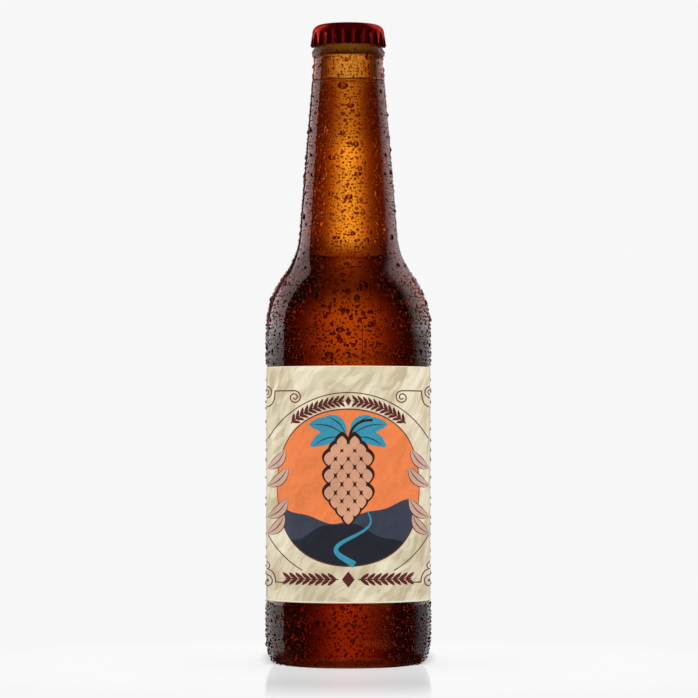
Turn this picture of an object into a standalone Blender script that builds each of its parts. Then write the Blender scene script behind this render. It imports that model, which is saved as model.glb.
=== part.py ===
"""A shut long-neck beer bottle: brown glass, the beer in it, a crimped crown cap and a paper front label.

Metres, +Z up. The origin is on the bottle's axis, on the surface that it stands on.
"""

import math

import bmesh
import bpy

GAP = 0.0003  # between pieces that touch

# Facets
SEGMENTS = 56  # round each turned piece
LARGE_ARC_STEPS = 6
SMALL_ARC_STEPS = 3
SHARP_EDGE = math.radians(40)

# Body and heel
BODY_RADIUS = 0.0305
HEEL_TOP = 0.0105  # where the straight side ends
HEEL_CONTROLS = [(0.0302, 0.0045), (0.0292, 0.0)]  # what the heel's curve is drawn towards
BEARING_OUTER = 0.0245  # flat ring that the bottle stands on
BEARING_INNER = 0.0226
PUNT_RIM = 0.0213
PUNT_STEP = 0.0012
PUNT_HEIGHT = 0.0036

# Shoulder: a round arc, then a hollow one that runs out into the neck
SHOULDER_START = 0.1239
SHOULDER_RADIUS = 0.0338
SHOULDER_SLOPE = math.radians(37.1)  # where the two arcs meet
FLARE_RADIUS = 0.0279
NECK_TAPER = math.radians(4.36)

# Neck and finish
NECK_TOP = 0.2230
NECK_TOP_RADIUS = 0.0128
COLLAR_HEIGHT = 0.2264  # middle of the ring below the cap
COLLAR_RADIUS = 0.01345
COLLAR_ROUND = 0.0030
COLLAR_END = math.radians(58)
GROOVE_RADIUS = 0.0117
GROOVE_TOP = 0.2305
FINISH_RADIUS = 0.01215
FINISH_BOTTOM = 0.2314
LIP_OUTER_ROUND = 0.00175
LIP_INNER_ROUND = 0.0009

# Inside
WALL = 0.0029
BORE_RADIUS = 0.0084
BORE_BOTTOM = 0.2290
INNER_NECK_TOP = 0.2210
INNER_NECK_RADIUS = 0.0096
INNER_HEEL_TOP = 0.0135
INNER_BASE_RADIUS = 0.0180
INNER_BASE_HEIGHT = 0.0056
INNER_BASE_MIDDLE = 0.0080

# Beer and label
FILL_HEIGHT = 0.2168
LABEL_BOTTOM = 0.0240
LABEL_TOP = 0.1102
LABEL_WIDTH = 0.0960  # along the arc, middle at -Y
LABEL_THICKNESS = 0.0002
LABEL_STEPS = 28
PANEL_CHAMFER = 0.0005

# Crown cap
CAP_TOP = 0.2370
CAP_BOTTOM = 0.2289
CAP_THICKNESS = 0.00045
CAP_CORNER = 0.0032
CAP_SIDE_RADIUS = 0.0134  # at the foot of the round corner
TOOTH_COUNT = 21
TOOTH_STEPS = 5
TOOTH_SHARPNESS = 1.6
RIDGE_FLARE = 0.00075
VALLEY_DEPTH = 0.00065
TOOTH_DIP = 0.0004  # how far a tooth's tip hangs below the valleys
SKIRT_STEPS = 4


def clear_scene():
    """Remove whatever the scene holds."""
    for thing in list(bpy.data.objects):
        bpy.data.objects.remove(thing, do_unlink=True)


def make_material(name, colour, roughness, metallic=0.0, transmission=0.0):
    """A Principled material of one colour."""
    material = bpy.data.materials.new(name)
    material.use_nodes = True
    shader = material.node_tree.nodes["Principled BSDF"]
    shader.inputs["Base Color"].default_value = (*colour, 1.0)
    shader.inputs["Roughness"].default_value = roughness
    shader.inputs["Metallic"].default_value = metallic
    shader.inputs["Transmission Weight"].default_value = transmission
    return material


def glass_material():
    """Brown bottle glass."""
    return make_material("amber_glass", (0.28, 0.07, 0.01), 0.04, transmission=0.9)


def beer_material():
    """Clear amber beer."""
    return make_material("beer", (0.60, 0.22, 0.02), 0.02, transmission=0.9)


def cap_material():
    """Red lacquer on tinplate."""
    return make_material("red_lacquer", (0.36, 0.006, 0.006), 0.22, metallic=0.6)


def label_material():
    """Cream label paper."""
    return make_material("label_paper", (0.84, 0.76, 0.56), 0.75)


def arc(centre, radius, start, end, steps):
    """Points on a circle in the profile plane, from one angle to the other, both included."""
    points = []
    for step in range(steps + 1):
        angle = start + (end - start) * step / steps
        points.append((centre[0] + radius * math.cos(angle), centre[1] + radius * math.sin(angle)))
    return points


def bezier(controls, steps):
    """Points on a Bezier curve of any degree, both ends included."""
    degree = len(controls) - 1
    points = []
    for step in range(steps + 1):
        t = step / steps
        weights = [math.comb(degree, k) * t**k * (1 - t) ** (degree - k) for k in range(degree + 1)]
        points.append(tuple(sum(w * c[axis] for w, c in zip(weights, controls)) for axis in (0, 1)))
    return points


def shoulder(inset, steps):
    """The two shoulder arcs from the neck down to the body, moved in square to the surface by inset."""
    low_centre = (BODY_RADIUS - SHOULDER_RADIUS, SHOULDER_START)
    reach = SHOULDER_RADIUS + FLARE_RADIUS
    high_centre = (
        low_centre[0] + reach * math.cos(SHOULDER_SLOPE),
        low_centre[1] + reach * math.sin(SHOULDER_SLOPE),
    )
    turn = math.pi
    flare = arc(high_centre, FLARE_RADIUS + inset, turn + NECK_TAPER, turn + SHOULDER_SLOPE, steps)
    curve = arc(low_centre, SHOULDER_RADIUS - inset, SHOULDER_SLOPE, 0.0, steps)
    return flare + curve[1:]


def finish_profile():
    """Outer side of the mouth under the cap, from the lip's top down to the neck."""
    lip_top = CAP_TOP - CAP_THICKNESS - GAP
    lip_centre = (FINISH_RADIUS - LIP_OUTER_ROUND, lip_top - LIP_OUTER_ROUND)
    lip = arc(lip_centre, LIP_OUTER_ROUND, math.pi / 2, 0.0, SMALL_ARC_STEPS)
    collar_centre = (COLLAR_RADIUS - COLLAR_ROUND, COLLAR_HEIGHT)
    collar_foot = -math.acos((NECK_TOP_RADIUS - collar_centre[0]) / COLLAR_ROUND)
    collar = arc(collar_centre, COLLAR_ROUND, COLLAR_END, collar_foot, LARGE_ARC_STEPS)
    groove = [
        (FINISH_RADIUS, FINISH_BOTTOM),
        (GROOVE_RADIUS, GROOVE_TOP),
        (GROOVE_RADIUS, collar[0][1] + GAP),
    ]
    return lip + groove + collar


def neck_profile():
    """Outer side of the neck: straight at its foot, slightly bowed up to the finish."""
    foot = shoulder(0.0, 1)[0]
    middle = (foot[0] - math.tan(NECK_TAPER) * (NECK_TOP - foot[1]) / 2, (NECK_TOP + foot[1]) / 2)
    return bezier([(NECK_TOP_RADIUS, NECK_TOP), middle, foot], SMALL_ARC_STEPS)


def panel_profile():
    """The shallow panel, all the way round, that the label lies in."""
    depth = LABEL_THICKNESS + GAP
    high, low = LABEL_TOP + GAP, LABEL_BOTTOM - GAP
    return [
        (BODY_RADIUS, high + PANEL_CHAMFER),
        (BODY_RADIUS - depth, high),
        (BODY_RADIUS - depth, low),
        (BODY_RADIUS, low - PANEL_CHAMFER),
    ]


def base_profile():
    """Heel, the ring that the bottle stands on, and the punt up to the axis."""
    heel = bezier([(BODY_RADIUS, HEEL_TOP), *HEEL_CONTROLS, (BEARING_OUTER, 0.0)], LARGE_ARC_STEPS)
    rim = (PUNT_RIM, PUNT_STEP)
    dome = bezier([rim, (PUNT_RIM / 2, PUNT_HEIGHT), (0.0, PUNT_HEIGHT)], SMALL_ARC_STEPS)
    return heel + [(BEARING_INNER, 0.0)] + dome


def inside_profile(inset):
    """Inner wall from the neck down to the middle of the base, a further inset in from the glass."""
    neck_foot = shoulder(WALL + inset, 1)[0]
    neck = [(INNER_NECK_RADIUS - inset, INNER_NECK_TOP), neck_foot]
    side = BODY_RADIUS - WALL - inset
    floor = INNER_BASE_HEIGHT + inset
    middle = INNER_BASE_MIDDLE + inset
    foot = (INNER_BASE_RADIUS, floor)
    heel = bezier([(side, INNER_HEEL_TOP), (side, floor), foot], SMALL_ARC_STEPS)
    dome = bezier([foot, (INNER_BASE_RADIUS / 2, middle), (0.0, middle)], SMALL_ARC_STEPS)
    return neck + shoulder(WALL + inset, LARGE_ARC_STEPS)[1:] + heel + dome[1:]


def mouth_profile():
    """Bore and the inner edge of the lip, from the top down to the neck."""
    lip_top = CAP_TOP - CAP_THICKNESS - GAP
    centre = (BORE_RADIUS + LIP_INNER_ROUND, lip_top - LIP_INNER_ROUND)
    lip = arc(centre, LIP_INNER_ROUND, math.pi / 2, math.pi, SMALL_ARC_STEPS)
    return lip + [(BORE_RADIUS, BORE_BOTTOM)]


def finish_mesh(builder, name, material):
    """Turn a bmesh into an object with smooth round faces."""
    bmesh.ops.recalc_face_normals(builder, faces=builder.faces)
    mesh = bpy.data.meshes.new(name)
    builder.to_mesh(mesh)
    builder.free()
    mesh.materials.append(material)
    mesh.shade_smooth()
    mesh.set_sharp_from_angle(angle=SHARP_EDGE)
    piece = bpy.data.objects.new(name, mesh)
    bpy.context.scene.collection.objects.link(piece)
    return piece


def spin_round(builder, verts, edges, angle, steps):
    """Spin part of a mesh round the Z axis."""
    bmesh.ops.spin(
        builder,
        geom=verts + edges,
        cent=(0.0, 0.0, 0.0),
        axis=(0.0, 0.0, 1.0),
        angle=angle,
        steps=steps,
    )
    bmesh.ops.remove_doubles(builder, verts=builder.verts, dist=1e-6)


def turn_profile(name, profile, material):
    """Turn a profile of (radius, height) points, from the axis out and back to it, right round."""
    builder = bmesh.new()
    verts = [builder.verts.new((radius, 0.0, height)) for radius, height in profile]
    edges = [builder.edges.new(pair) for pair in zip(verts, verts[1:])]
    spin_round(builder, verts, edges, 2 * math.pi, SEGMENTS)
    return finish_mesh(builder, name, material)


def make_bottle():
    """The glass: one wall from the punt, up the outside, over the lip and down the inside."""
    side = neck_profile() + shoulder(0.0, LARGE_ARC_STEPS)[1:] + panel_profile()
    outside = finish_profile() + side + base_profile()
    inside = mouth_profile() + inside_profile(0.0)
    return turn_profile("bottle", inside[::-1] + outside, glass_material())


def make_beer():
    """The beer, up to the level in the neck."""
    inside = inside_profile(GAP)
    (top_radius, top), (foot_radius, foot) = inside[:2]
    share = (top - FILL_HEIGHT) / (top - foot)
    surface_radius = top_radius + (foot_radius - top_radius) * share
    surface = [(0.0, FILL_HEIGHT), (surface_radius, FILL_HEIGHT)]
    return turn_profile("beer", surface + inside[1:], beer_material())


def make_label():
    """The paper, bent round the front half of the panel and flush with the glass above and below it."""
    builder = bmesh.new()
    sweep = LABEL_WIDTH / BODY_RADIUS
    start = -math.pi / 2 - sweep / 2
    outer, inner = BODY_RADIUS, BODY_RADIUS - LABEL_THICKNESS
    profile = [(outer, LABEL_TOP), (outer, LABEL_BOTTOM), (inner, LABEL_BOTTOM), (inner, LABEL_TOP)]
    verts = [builder.verts.new((r * math.cos(start), r * math.sin(start), height)) for r, height in profile]
    edges = [builder.edges.new(pair) for pair in zip(verts, verts[1:] + verts[:1])]
    spin_round(builder, verts, edges, sweep, LABEL_STEPS)
    rims = [edge for edge in builder.edges if edge.is_boundary]
    bmesh.ops.holes_fill(builder, edges=rims, sides=4)
    return finish_mesh(builder, "label", label_material())


def tooth_shape(angle):
    """1 on a tooth's ridge, 0 in the valleys beside it. One ridge faces the front, at -Y."""
    wave = (1 + math.cos(TOOTH_COUNT * (angle + math.pi / 2))) / 2
    return wave**TOOTH_SHARPNESS


def cap_side_ring(share, inset):
    """One ring of the fluted skirt, share 0 at the round corner and 1 at the teeth's tips."""
    count = TOOTH_COUNT * TOOTH_STEPS
    ring = []
    for index in range(count):
        angle = 2 * math.pi * index / count - math.pi / 2
        ridge = tooth_shape(angle)
        flare = RIDGE_FLARE * ridge * share - VALLEY_DEPTH * (1 - ridge) * math.sqrt(share)
        radius = CAP_SIDE_RADIUS - inset + flare
        corner_foot = CAP_TOP - CAP_CORNER
        tip = CAP_BOTTOM + TOOTH_DIP * (1 - ridge)
        height = corner_foot + (tip - corner_foot) * share
        ring.append((radius * math.cos(angle), radius * math.sin(angle), height))
    return ring


def cap_round_ring(radius, height):
    """One plain ring of the cap's top or corner."""
    count = TOOTH_COUNT * TOOTH_STEPS
    angles = [2 * math.pi * index / count - math.pi / 2 for index in range(count)]
    return [(radius * math.cos(a), radius * math.sin(a), height) for a in angles]


def cap_rings(inset):
    """Rings of one side of the shell, from its top down to the teeth."""
    centre = (CAP_SIDE_RADIUS - CAP_CORNER, CAP_TOP - CAP_CORNER)
    corner = arc(centre, CAP_CORNER - inset, math.pi / 2, 0.0, SMALL_ARC_STEPS)
    rings = [cap_round_ring(radius, height) for radius, height in corner[:-1]]
    shares = [step / SKIRT_STEPS for step in range(SKIRT_STEPS + 1)]
    return rings + [cap_side_ring(share, inset) for share in shares]


def make_cap():
    """The crown: a thin shell with a flat top, a round corner and a fluted skirt."""
    builder = bmesh.new()
    rings = cap_rings(0.0) + cap_rings(CAP_THICKNESS)[::-1]
    rows = [[builder.verts.new(place) for place in ring] for ring in rings]
    for upper, lower in zip(rows, rows[1:]):
        for index, corner in enumerate(upper):
            builder.faces.new((corner, lower[index], lower[index - 1], upper[index - 1]))
    builder.faces.new(rows[0])
    builder.faces.new(rows[-1])
    return finish_mesh(builder, "cap", cap_material())


def main():
    """Build the bottle, and stand every piece on one empty at the origin."""
    clear_scene()
    stand = bpy.data.objects.new("beer_bottle", None)
    bpy.context.scene.collection.objects.link(stand)
    for piece in (make_bottle(), make_beer(), make_label(), make_cap()):
        piece.parent = stand


main()
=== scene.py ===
import math

import bpy
import numpy as np
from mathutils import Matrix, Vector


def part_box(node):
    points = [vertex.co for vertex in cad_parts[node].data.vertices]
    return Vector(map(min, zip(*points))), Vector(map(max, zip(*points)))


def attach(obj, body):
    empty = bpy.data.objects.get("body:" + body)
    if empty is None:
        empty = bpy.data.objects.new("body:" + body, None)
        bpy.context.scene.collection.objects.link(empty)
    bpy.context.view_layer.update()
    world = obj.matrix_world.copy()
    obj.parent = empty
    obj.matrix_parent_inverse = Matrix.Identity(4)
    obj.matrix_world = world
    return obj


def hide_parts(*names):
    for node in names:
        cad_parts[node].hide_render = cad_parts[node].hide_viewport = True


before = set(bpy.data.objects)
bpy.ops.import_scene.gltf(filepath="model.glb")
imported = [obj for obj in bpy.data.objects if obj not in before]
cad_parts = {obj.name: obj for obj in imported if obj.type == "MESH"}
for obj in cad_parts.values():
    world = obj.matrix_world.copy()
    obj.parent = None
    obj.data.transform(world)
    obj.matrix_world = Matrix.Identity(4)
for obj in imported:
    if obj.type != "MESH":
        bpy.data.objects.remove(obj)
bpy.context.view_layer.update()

# A cold long-neck beer bottle, wet with condensation, on a white studio floor.
# Metres, +Z up, the middle of the label faces -Y.

mm = 0.001
scene = bpy.context.scene
bottleLow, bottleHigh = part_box("bottle")
capLow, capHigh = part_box("cap")
labelLow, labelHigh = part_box("label")
beerLow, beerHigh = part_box("beer")
bodyRadius = bottleHigh[0]


# Small tools

def linear(code):
    # sRGB hex to linear: c / 12.92 below 0.04045, else ((c + 0.055) / 1.055) ** 2.4
    values = [int(code[i:i + 2], 16) / 255 for i in (0, 2, 4)]
    return tuple(v / 12.92 if v <= 0.04045 else ((v + 0.055) / 1.055) ** 2.4 for v in values)


def nodeAdder(tree):
    # empties a node tree and gives the function that adds one shader node to it, with its settings;
    # an input gets a value, a socket, or a node's first output
    tree.nodes.clear()

    def add(kind, inputs=None, **settings):
        node = tree.nodes.new("ShaderNode" + kind)
        for name, value in settings.items():
            setattr(node, name, value)
        for name, value in (inputs or {}).items():
            if isinstance(value, bpy.types.Node):
                value = value.outputs[0]
            if isinstance(value, bpy.types.NodeSocket):
                tree.links.new(value, node.inputs[name])
            else:
                node.inputs[name].default_value = value
        return node

    return add


def softBand(add, value, middle, half, edge):
    # 1 where the value is within half of the middle, falling smoothly to 0 across the edge
    away = add("Math", {0: value, 1: middle}, operation="SUBTRACT")
    away = add("Math", {0: away}, operation="ABSOLUTE")
    return add("MapRange", {"Value": away, "From Min": half, "From Max": half + edge, "To Min": 1.0,
                            "To Max": 0.0}, interpolation_type="SMOOTHSTEP")


def fillRamp(node, stops):
    # a ramp's stops, each a place with a linear colour
    elements = node.color_ramp.elements
    while len(elements) < len(stops):
        elements.new(0.5)
    for element, (place, colour) in zip(elements, stops):
        element.position, element.color = place, (*colour, 1)


def newMaterial(name):
    material = bpy.data.materials.new(name)
    material.use_nodes = True
    return material, nodeAdder(material.node_tree)


def gridFaces(rows, columns, closed):
    # quads of a rows x columns grid of points, and round the seam where the columns close
    across = np.arange(columns if closed else columns - 1)
    down = np.arange(rows - 1)[:, None]
    here, follow = down * columns + across, down * columns + (across + 1) % columns
    return np.stack([here, here + columns, follow + columns, follow], axis=-1).reshape(-1, 4)


def shellFaces(rows, columns):
    # quads of closed rings and a fan at each end, round the two pole points that follow the rings
    here = np.arange(columns)
    follow = (here + 1) % columns
    first, last = np.full(columns, rows * columns), (rows - 1) * columns
    return [gridFaces(rows, columns, True), np.stack([first, here, follow], axis=1),
            np.stack([last + here, first + 1, last + follow], axis=1)]


def makePiece(name, points, faceBlocks, material, body="root"):
    # points (n, 3) and blocks of faces, each (m, 3) or (m, 4), into one smooth mesh object
    corners = np.concatenate([block.ravel() for block in faceBlocks]).astype(np.int32)
    sizes = np.concatenate([np.full(len(block), block.shape[1]) for block in faceBlocks])
    starts = np.concatenate([[0], np.cumsum(sizes)[:-1]]).astype(np.int32)
    mesh = bpy.data.meshes.new(name)
    mesh.vertices.add(len(points))
    mesh.vertices.foreach_set("co", np.asarray(points, np.float32).ravel())
    mesh.loops.add(len(corners))
    mesh.loops.foreach_set("vertex_index", corners)
    mesh.polygons.add(len(sizes))
    mesh.polygons.foreach_set("loop_start", starts)
    mesh.update(calc_edges=True)
    mesh.shade_smooth()
    mesh.materials.append(material)
    piece = bpy.data.objects.new(name, mesh)
    scene.collection.objects.link(piece)
    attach(piece, body)
    return piece


def arcPoints(centre, radius, start, end, count):
    # centre + radius (cos a, sin a), a in degrees from start to end
    a = np.radians(np.linspace(start, end, count))
    return np.stack([centre[0] + radius * np.cos(a), centre[1] + radius * np.sin(a)], axis=1)


def bezierPoints(controls, count):
    # sum of C(n, k) t^k (1 - t)^(n - k) times control k
    t = np.linspace(0, 1, count)[:, None]
    n = len(controls) - 1
    return sum(math.comb(n, k) * t**k * (1 - t)**(n - k) * np.array(c) for k, c in enumerate(controls))


def respace(points, stepAt):
    # points along a line again, the step at each place given by stepAt(radius, height)
    points = points[np.r_[True, np.hypot(*np.diff(points, axis=0).T) > 1e-7]]
    fine = np.hypot(*np.diff(points, axis=0).T)
    length = np.r_[0, np.cumsum(fine)]
    s = np.linspace(0, length[-1], 8000)
    dense = np.stack([np.interp(s, length, points[:, 0]), np.interp(s, length, points[:, 1])], axis=1)
    work = np.r_[0, np.cumsum(np.diff(s) / stepAt(dense[1:, 0], dense[1:, 1]))]
    spots = np.interp(np.linspace(0, work[-1], int(work[-1]) + 2), work, s)
    return np.stack([np.interp(spots, s, dense[:, 0]), np.interp(spots, s, dense[:, 1])], axis=1)


def relax(points, passes):
    # rounds a line's corners: each point moves to (before + 2 here + after) / 4
    for _ in range(passes):
        points[1:-1] = (points[:-2] + 2 * points[1:-1] + points[2:]) / 4
    return points


def turned(profile, segments):
    # (r cos a, r sin a, z) for each profile point and angle, with a fan at each pole on the axis
    a = np.linspace(0, 2 * math.pi, segments, endpoint=False)
    r, z = profile[1:-1, 0:1], profile[1:-1, 1:2]
    rings = np.stack([r * np.cos(a), r * np.sin(a), z + 0 * a], axis=-1).reshape(-1, 3)
    poles = np.array([[0, 0, profile[0, 1]], [0, 0, profile[-1, 1]]])
    return np.concatenate([rings, poles]), shellFaces(len(profile) - 2, segments)


# Glass

bottle = {
    "segments": 180,
    "wall": 2.9 * mm,
    "shoulderStart": 123.9 * mm,
    "shoulderRadius": 33.8 * mm,
    "shoulderSlope": 37.1,      # degrees, where the round arc meets the hollow one
    "flareRadius": 27.9 * mm,
    "neckTaper": 4.36,          # degrees
    "neckTop": 223.0 * mm,
    "neckTopRadius": 12.8 * mm,
    "collarHeight": 226.4 * mm,
    "collarRadius": 13.45 * mm,
    "collarRound": 3.0 * mm,
    "collarEnd": 58,            # degrees above the level of its middle
    "grooveRadius": 11.7 * mm,
    "grooveHeights": (229.4 * mm, 230.5 * mm),
    "finishRadius": 12.15 * mm,
    "finishBottom": 231.4 * mm,
    "lipRounds": (0.9 * mm, 1.75 * mm),     # at the bore, outside
    "boreRadius": 8.4 * mm,
    "innerNeckRadius": 9.6 * mm,
    "innerNeckTop": 221 * mm,
    "throat": (221.5, 228.9),   # mm, where the wall under the collar keeps one thickness
    "throatWall": 3.25 * mm,
    "ring": (219 * mm, 229.2 * mm),         # the stretch of the outside that the throat follows
    "boreFoot": 229.6 * mm,
    "finishSeam": 216.2 * mm,
    "fog": (224.3 * mm, 227.4 * mm),        # where the ring's roughness grows to the full
    "fogRoughness": 0.45,
    "heelTop": 10.5 * mm,
    "heelControls": ((30.2 * mm, 4.5 * mm), (29.2 * mm, 0)),    # what its curve is drawn towards
    "bearingOuter": 24.5 * mm,
    "bearingInner": 22.6 * mm,
    "puntRim": (21.3 * mm, 1.2 * mm),
    "puntHeight": 2.4 * mm,
    "innerHeelTop": 11.0 * mm,
    "innerBaseRadius": 22.5 * mm,
    "innerBaseHeight": 2.3 * mm,
    "innerBaseMiddle": 4.6 * mm,
    "panelDepth": 0.30 * mm,    # the label's panel, a real one is about as deep as the paper
    "panelMargin": 0.25 * mm,
    "panelSlope": 0.5 * mm,
}


def shoulderLine(inset, count):
    # two tangent arcs, neck to body, both moved in square to the surface by inset
    b = bottle
    low = (bodyRadius - b["shoulderRadius"], b["shoulderStart"])
    slope = math.radians(b["shoulderSlope"])
    reach = b["shoulderRadius"] + b["flareRadius"]
    high = (low[0] + reach * math.cos(slope), low[1] + reach * math.sin(slope))
    flare = arcPoints(high, b["flareRadius"] + inset, 180 + b["neckTaper"], 180 + b["shoulderSlope"], count)
    curve = arcPoints(low, b["shoulderRadius"] - inset, b["shoulderSlope"], 0, count)
    return np.concatenate([flare, curve])


def outerLine():
    # the bottle's outside from the lip's top to the middle of the hollow base
    b = bottle
    lipRound = b["lipRounds"][1]
    lip = arcPoints((b["finishRadius"] - lipRound, bottleHigh[2] - lipRound), lipRound, 90, 0, 12)
    grooveLow, grooveTop = b["grooveHeights"]
    groove = np.array([(b["finishRadius"], b["finishBottom"]), (b["grooveRadius"], grooveTop),
                       (b["grooveRadius"], grooveLow)])
    middle = (b["collarRadius"] - b["collarRound"], b["collarHeight"])
    foot = math.degrees(math.acos((b["neckTopRadius"] - middle[0]) / b["collarRound"]))
    collar = arcPoints(middle, b["collarRound"], b["collarEnd"], -foot, 24)
    shoulder = shoulderLine(0, 60)
    neckFoot = shoulder[0]
    half = (b["neckTop"] - neckFoot[1]) / 2
    bow = (neckFoot[0] - math.tan(math.radians(b["neckTaper"])) * half, neckFoot[1] + half)
    neck = bezierPoints([(b["neckTopRadius"], b["neckTop"]), bow, neckFoot], 40)
    deep, slope = bodyRadius - b["panelDepth"], b["panelSlope"]
    high, low = labelHigh[2] + b["panelMargin"], labelLow[2] - b["panelMargin"]
    panel = np.array([(bodyRadius, high + slope), (deep, high), (deep, low), (bodyRadius, low - slope)])
    heel = bezierPoints([(bodyRadius, b["heelTop"]), *b["heelControls"], (b["bearingOuter"], 0)], 40)
    punt = bezierPoints([b["puntRim"], (b["puntRim"][0] / 2, b["puntHeight"]), (0, b["puntHeight"])], 30)
    bearing = np.array([(b["bearingInner"], 0)])
    return np.concatenate([lip, groove, collar, neck, shoulder, panel, heel, bearing, punt])


def innerLine(inset, top):
    # the inner wall from a height in the neck to the middle of the base, a further inset in from the glass
    b = bottle
    shoulder = shoulderLine(b["wall"] + inset, 40)
    neckTop = (b["innerNeckRadius"] - inset, b["innerNeckTop"])
    side = bodyRadius - b["wall"] - inset
    floor = b["innerBaseHeight"] + inset
    middle = b["innerBaseMiddle"] + inset
    foot = (b["innerBaseRadius"], floor)
    heel = bezierPoints([(side, b["innerHeelTop"]), (side, floor), foot], 24)
    dome = bezierPoints([foot, (b["innerBaseRadius"] / 2, middle), (0, middle)], 20)
    line = np.concatenate([[neckTop], shoulder, heel, dome])
    return line if top is None else line[line[:, 1] < top]


def glassStep(r, z):
    # fine at the mouth, the panel's edges and the heel, coarse on the plain walls
    edges = np.minimum(abs(z - labelHigh[2]), abs(z - labelLow[2]))
    fine = (z > 222 * mm) | (z < 11 * mm) | ((edges < 2 * mm) & (r > bodyRadius - 1 * mm))
    return np.where(fine, 0.42 * mm, 1.5 * mm)


def bottleGlass():
    # amber soda-lime glass, blown in a mould: brown by what it absorbs, gently wavy, with a fine mould seam
    material, add = newMaterial("amberSodaLimeGlass")
    place = add("TexCoord").outputs["Object"]
    wave = add("TexNoise", {"Vector": place, "Scale": 1 / (16 * mm), "Detail": 1.0})
    bump = add("Bump", {"Height": wave.outputs["Fac"], "Strength": 0.35, "Distance": 0.12 * mm})
    # a fine step round the neck, where the finish was moulded
    parts = add("SeparateXYZ", {0: place})
    seam = softBand(add, parts.outputs["Z"], bottle["finishSeam"], 0.0, 0.4 * mm)
    bump = add("Bump", {"Height": seam, "Strength": 1.0, "Distance": 0.35 * mm, "Normal": bump})
    # the ring under the cap is fogged, so it glows evenly instead of showing the cap's inside
    fog = add("MapRange", {"Value": parts.outputs["Z"], "From Min": bottle["fog"][0],
                           "From Max": bottle["fog"][1], "To Max": bottle["fogRoughness"]},
              interpolation_type="SMOOTHSTEP")
    glass = add("BsdfPrincipled", {"Base Color": (1, 1, 1, 1), "IOR": 1.52, "Roughness": fog,
                                   "Transmission Weight": 1.0, "Normal": bump})
    # per metre the glass takes density * (1 - colour) of each colour
    tint = add("VolumeAbsorption", {"Color": (0.915, 0.72, 0.15, 1), "Density": 600.0})
    add("OutputMaterial", {"Surface": glass, "Volume": tint})
    return material


def makeBottle(material):
    bore, lipRound = bottle["boreRadius"], bottle["lipRounds"][0]
    mouth = arcPoints((bore + lipRound, bottleHigh[2] - lipRound), lipRound, 180, 90, 8)
    # under the collar the wall keeps one thickness, above it the bore is straight
    outside = outerLine()
    low, high = bottle["ring"]
    ring = outside[(outside[:, 1] > low) & (outside[:, 1] < high)][::-1]
    z = np.linspace(*bottle["throat"], 40) * mm
    r = np.maximum(np.interp(z, ring[:, 1], ring[:, 0]) - bottle["throatWall"], bore)
    throat = np.concatenate([np.stack([r, z], axis=1), [(bore, bottle["boreFoot"])]])
    line = np.concatenate([innerLine(0, None)[::-1], throat, mouth, outside])
    line = relax(respace(line, glassStep), 3)
    line[[0, -1], 0] = 0
    points, faces = turned(line, bottle["segments"])
    piece = makePiece("bottleGlass", points, faces, material)
    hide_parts("bottle")
    print("glass:", len(line), "rings")


# Beer

beer = {
    "segments": 160,
    "into": 0.06 * mm,   # how far it reaches into the wall, so that no air shows between
    "lower": 0.6 * mm,   # the photo's level below the part's
    "climb": 0.25 * mm,  # at the wall, falling by e in the meniscus' width
    "meniscus": 1.3 / 2.2 * mm,
}


def beerLiquid():
    # clear lager, amber by absorption alone
    material, add = newMaterial("clearAmberBeer")
    liquid = add("BsdfPrincipled", {"Base Color": (1, 1, 1, 1), "Roughness": 0.0, "IOR": 1.345,
                                    "Transmission Weight": 1.0})
    tint = add("VolumeAbsorption", {"Color": (0.83, 0.65, 0.35, 1), "Density": 110.0})
    add("OutputMaterial", {"Surface": liquid, "Volume": tint})
    return material


def makeBeer(material):
    # level surface that climbs the wall by climb * exp(-d / meniscus), d the distance from the wall
    line = innerLine(-beer["into"], beerHigh[2])
    heights, radii = [line[0, 1], bottle["innerNeckTop"]], [line[0, 0], bottle["innerNeckRadius"]]
    wall = np.interp(beerHigh[2], heights, radii) + beer["into"]
    r = np.linspace(0, wall, 40)
    level = beerHigh[2] - beer["lower"] + beer["climb"] * np.exp((r - wall) / beer["meniscus"])
    surface = np.stack([r, level], axis=1)
    full = respace(np.concatenate([surface, line[line[:, 1] < level[-1] - 0.3 * mm]]),
                   lambda r, z: np.where((z > 214 * mm) | (z < 14 * mm), 0.45 * mm, 1.6 * mm))
    full[[0, -1], 0] = 0
    points, faces = turned(full, beer["segments"])
    piece = makePiece("beerLiquid", points, faces, material)
    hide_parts("beer")
    print("beer:", len(full), "rings")


# Condensation

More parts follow.
